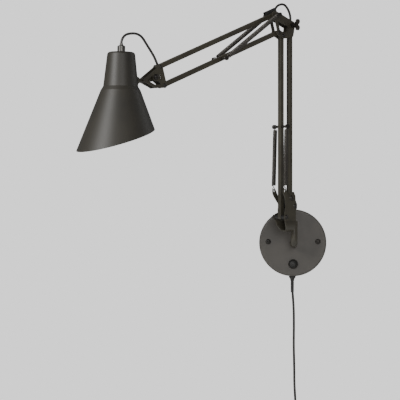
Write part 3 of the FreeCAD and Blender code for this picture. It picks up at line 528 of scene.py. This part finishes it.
# Balance springs: close-wound from spring wire, 8 mm across, an eye round the pin at one end
# and a loop at the other. Two stand beside the lower arm and two beside the upper arm. The
# wire is drawn from its eye to its loop, and its coils slide apart as the arm tilts.
dress("spring_steel", (0.075, 0.070, 0.062), (0.10, 0.093, 0.083), 0.36, metallic=0.8)
joints = {joint["name"]: joint for joint in frame["joints"]}
across = Vector(joints["upper_tilt"]["axis"]).normalized()
forward = across.cross(UP).normalized()
WIRE_R, COIL_R, PITCH, PER_COIL = 0.00068, 0.0040, 0.00146, 14
EYE_R, LEAD_IN = 0.0031, 0.0060
EYE_STEPS, NECK_STEPS = 14, 4
COIL_SHORT = 0.0008


def spring_points(start, along, length, loop_side):
    """The whole wire: the eye, the close-wound coil and the far loop."""
    mean = COIL_R - WIRE_R
    coil_length = length - 2 * LEAD_IN - COIL_SHORT
    steps = round(coil_length / PITCH) * PER_COIL
    up = along.cross(across).normalized()
    points = []
    for i in range(EYE_STEPS + 1):
        angle = math.radians(20 + 320 * i / EYE_STEPS)
        points.append(start + (along * math.cos(angle) + up * math.sin(angle)) * EYE_R)
    for i in range(NECK_STEPS):
        points.append(start + along * (EYE_R + 0.0006 + i * 0.0006) + up * mean * (i / NECK_STEPS) ** 2)
    for i in range(steps + 1):
        angle = 2 * math.pi * i / PER_COIL
        middle = start + along * (LEAD_IN + coil_length * i / steps)
        points.append(middle + (up * math.cos(angle) + across * math.sin(angle)) * mean)
    end = start + along * length
    for i in range(NECK_STEPS):
        left = (NECK_STEPS - 1 - i) / NECK_STEPS
        points.append(end - along * (EYE_R + 0.0026 - i * 0.0006) + up * mean * left**2)
    reach = loop_side.cross(along).normalized()
    for i in range(EYE_STEPS + 1):
        angle = math.radians(160 - 320 * i / EYE_STEPS)
        points.append(end + (along * math.cos(angle) + reach * math.sin(angle)) * EYE_R)
    return points


def tube_mesh(curve, radius, sides):
    """A round wire or lead along a curve, as a mesh."""
    curve.bevel_depth = radius
    curve.bevel_resolution = sides
    curve.use_fill_caps = True
    holder = bpy.data.objects.new("line", curve)
    mesh = bpy.data.meshes.new_from_object(holder)
    bpy.data.objects.remove(holder)
    bpy.data.curves.remove(curve)
    return mesh


for arm_name, far_body, length, loop_side in (
    ("lower", "lower_hooks", 0.1105, forward),
    ("upper", "upper_eyes", 0.1388, across),
):
    along = Vector(joints[arm_name + "_spring_stretch"]["axis"]).normalized()
    turn_at = Vector(joints[arm_name + "_spring_turn"]["pos_m"])
    for where in ("near", "far"):
        node = arm_name + "_spring_" + where
        low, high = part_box(node)
        start = turn_at + across * ((low + high) / 2 - turn_at).dot(across)
        wire = bpy.data.curves.new("wire", "CURVE")
        wire.dimensions = "3D"
        line = wire.splines.new("POLY")
        points = spring_points(start, along, length, loop_side)
        line.points.add(len(points) - 1)
        for point, place in zip(line.points, points):
            point.co = (*place, 1)
        spring = piece_from(tube_mesh(wire, WIRE_R, 1), node + "_wire", "spring_steel", sharp_deg=90)
        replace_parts(spring, node)
        if where == "near":
            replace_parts(spring, arm_name + "_spring_hooks")
        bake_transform(spring)

# Lead loops: the round lamp lead leaves the bars over the elbow and over the head, slack
# enough for both joints to turn. Each loop is in two halves that meet at its crest. Points
# are forward from the swivel's axis and up.
swivel_foot = Vector(joints["base_swivel"]["pos_m"])
swivel_foot.z = 0
CREST = [(0.0368, 0.4190), (0.0310, 0.4206), (0.0230, 0.4228)]
HEAD_CREST = [(0.3530, 0.3542), (0.3395, 0.3548), (0.3260, 0.3554)]
ELBOW_FRONT = [(0.0590, 0.4038), (0.0507, 0.4075), (0.0424, 0.4115), *CREST[:2]]
ELBOW_REAR = [(0.0086, 0.3860), (0.0084, 0.3896), (0.0082, 0.4020), (0.0134, 0.4135), *CREST[:0:-1]]
HEAD_FRONT = [(0.3632, 0.3240), (0.3630, 0.3340), (0.3624, 0.3440), *HEAD_CREST[:2]]
HEAD_REAR = [
    (0.2895, 0.3020), (0.2911, 0.3053), (0.2980, 0.3190), (0.3105, 0.3350), *HEAD_CREST[:0:-1],
]
for node, points, fixed, linked in (
    ("elbow_lead_front", ELBOW_FRONT, "top_bar", "elbow"),
    ("elbow_lead_rear", ELBOW_REAR, "rear_bar", "elbow"),
    ("head_lead_front", HEAD_FRONT, "shade_unit", "head"),
    ("head_lead_rear", HEAD_REAR, "top_bar", "head"),
):
    line = [swivel_foot + forward * u + UP * z for u, z in points]
    lead_mesh = tube_mesh(smooth_curve("lead", line, 10), CORD_D / 2, 4)
    lead = piece_from(lead_mesh, node + "_piece", "cord_sheath", sharp_deg=60)
    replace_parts(lead, node)
    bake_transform(lead)

# Shade: spun steel, dark satin outside, with a turned aluminium gland on top. Its lining is
# the white stoved enamel inside it, up to the lamp holder and cut off level with the rim.
dress("shade_paint", (0.018, 0.016, 0.012), (0.024, 0.021, 0.015), 0.50, mottle_scale=14.0)
dress("gland_aluminium", (0.11, 0.107, 0.10), (0.15, 0.145, 0.135), 0.33, metallic=0.9, stretch=(1, 1, 14))
SHADE_LEAN, RIM_SLOPE, RIM_DOWN = math.radians(1.0), math.atan(0.34), 0.0968
LINING_OUT, LINING_IN = 0.0004, 0.0009
shade_axis = (UP * math.cos(SHADE_LEAN) - forward * math.sin(SHADE_LEAN)).normalized()
shade_forward = (forward * math.cos(SHADE_LEAN) + UP * math.sin(SHADE_LEAN)).normalized()
shade_at = swivel_foot + forward * 0.36398 + UP * 0.276015
inner_line = [(0.0773, -0.146), (0.0322, -0.0173), (0.0281, -0.0107), (0.0228, 0.0380)]
outside = [(r - LINING_OUT, h) for r, h in inner_line]
inside = [(r - LINING_IN, h) for r, h in reversed(inner_line)]
shape = bmesh.new()
add_spun(shape, outside + inside, shade_at, shade_axis, 96)
bmesh.ops.bisect_plane(
    shape, geom=shape.verts[:] + shape.edges[:] + shape.faces[:], clear_inner=True,
    plane_co=shade_at - shade_axis * RIM_DOWN,
    plane_no=shade_forward * math.sin(RIM_SLOPE) + shade_axis * math.cos(RIM_SLOPE),
)
bmesh.ops.bridge_loops(shape, edges=[e for e in shape.edges if e.is_boundary])
piece_from(shape, "shade_lining", "white_plastic", "shade_unit")

# Lamp holder: a ribbed shell with a skirt, moulded in heat-resisting black plastic and
# screwed on to the gland's tail inside the shade.
ribs = [(0.0175 - 0.0007 * (i % 2), -0.0045 + 0.0022 * i) for i in range(12)]
skirt = [(0.0136, -0.0060), (0.0168, -0.0060), (0.0174, -0.0054)]
neck = [
    (0.0170, 0.0203), (0.0155, 0.0212), (0.0155, 0.0335), (0.0120, 0.0347), (0.0080, 0.0384),
    (0.0051, 0.0384), (0.0051, 0.0215), (0.0136, 0.0208),
]
shape = bmesh.new()
add_spun(shape, skirt + ribs + neck, shade_at, shade_axis, 64)
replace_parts(piece_from(shape, "lamp_holder_piece", "black_plastic", "shade_unit"), "lamp_holder")

# Lamp: a rolled nickel-plated screw cap with its contact button, and an opal glass globe
# with a drawn-in throat that is cemented into the cap.
dress("lamp_cap_metal", (0.62, 0.62, 0.60), (0.68, 0.68, 0.65), 0.3, metallic=1.0)
dress("lamp_opal", (0.86, 0.85, 0.80), (0.88, 0.87, 0.83), 0.22, mottle=0.03, bump=0.02)
rolled = [(0.0130 - 0.0009 * (i % 2), -0.0030 + 0.0018 * i) for i in range(11)]
contact = [(0.0118, 0.0175), (0.0100, 0.0180), (0.0050, 0.0196), (0.0040, 0.0198), (0, 0.0198)]
shape = bmesh.new()
add_spun(shape, [(0, -0.0044), (0.0126, -0.0044), *rolled, *contact], shade_at, shade_axis, 48)
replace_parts(piece_from(shape, "lamp_cap_piece", "lamp_cap_metal", "shade_unit"), "lamp_cap")

GLOBE_R, GLOBE_DOWN = 0.0224, 0.0420
ball = arc(0.0, -GLOBE_DOWN, GLOBE_R, -90, 38, 20)
throat = [(0.0160, -0.0250), (0.0142, -0.0190), (0.0128, -0.0125), (0.0121, -0.0047), (0, -0.0047)]
shape = bmesh.new()
add_spun(shape, [(0, -GLOBE_DOWN - GLOBE_R), *ball[1:], *throat], shade_at, shade_axis, 64)
globe = piece_from(shape, "lamp_globe_piece", "lamp_opal", "shade_unit", sharp_deg=50)
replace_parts(globe, "lamp_globe")

# Studio: a pale floor below, an even pale surround and soft lights, the strongest from the
# left. The surround is brighter to the camera than to the object, which keeps its dark sides.
FLOOR_BELOW = 0.25
LIT_AT = Vector((-0.12, -0.1, 0.15))
SURROUND, SURROUND_SEEN = 0.22, 1.3
floor_shape, floor_mesh = bmesh.new(), bpy.data.meshes.new("floor")
bmesh.ops.create_grid(floor_shape, x_segments=1, y_segments=1, size=3)
floor_shape.to_mesh(floor_mesh)
floor_shape.free()
floor = bpy.data.objects.new("floor", floor_mesh)
floor.location.z = cad_box[0][2] - FLOOR_BELOW
pale = bpy.data.materials.new("floor_pale")
pale.use_nodes = True
pale.node_tree.nodes["Principled BSDF"].inputs["Base Color"].default_value = (0.82, 0.82, 0.81, 1)
pale.node_tree.nodes["Principled BSDF"].inputs["Roughness"].default_value = 0.8
floor_mesh.materials.append(pale)
bpy.context.collection.objects.link(floor)
for name, place, size, power in (
    ("key", (-2.2, -1.9, 1.5), 1.1, 95),
    ("fill", (0.4, -3.2, 0.9), 1.4, 26),
    ("rim", (2.2, 0.6, 1.2), 1.2, 7),
):
    light_data = bpy.data.lights.new(name, "AREA")
    light_data.size = size
    light_data.energy = power
    light = bpy.data.objects.new(name, light_data)
    light.location = place
    light.rotation_euler = (LIT_AT - Vector(place)).to_track_quat("-Z", "Y").to_euler()
    bpy.context.collection.objects.link(light)
world = bpy.data.worlds.new("studio")
world.use_nodes = True
background = world.node_tree.nodes["Background"]
seen = world.node_tree.nodes.new("ShaderNodeLightPath")
brightness = world.node_tree.nodes.new("ShaderNodeMapRange")
brightness.inputs["To Min"].default_value = SURROUND
brightness.inputs["To Max"].default_value = SURROUND_SEEN
world.node_tree.links.new(seen.outputs["Is Camera Ray"], brightness.inputs["Value"])
world.node_tree.links.new(brightness.outputs[0], background.inputs["Strength"])
background.inputs["Color"].default_value = (1, 1, 1, 1)
bpy.context.scene.world = world
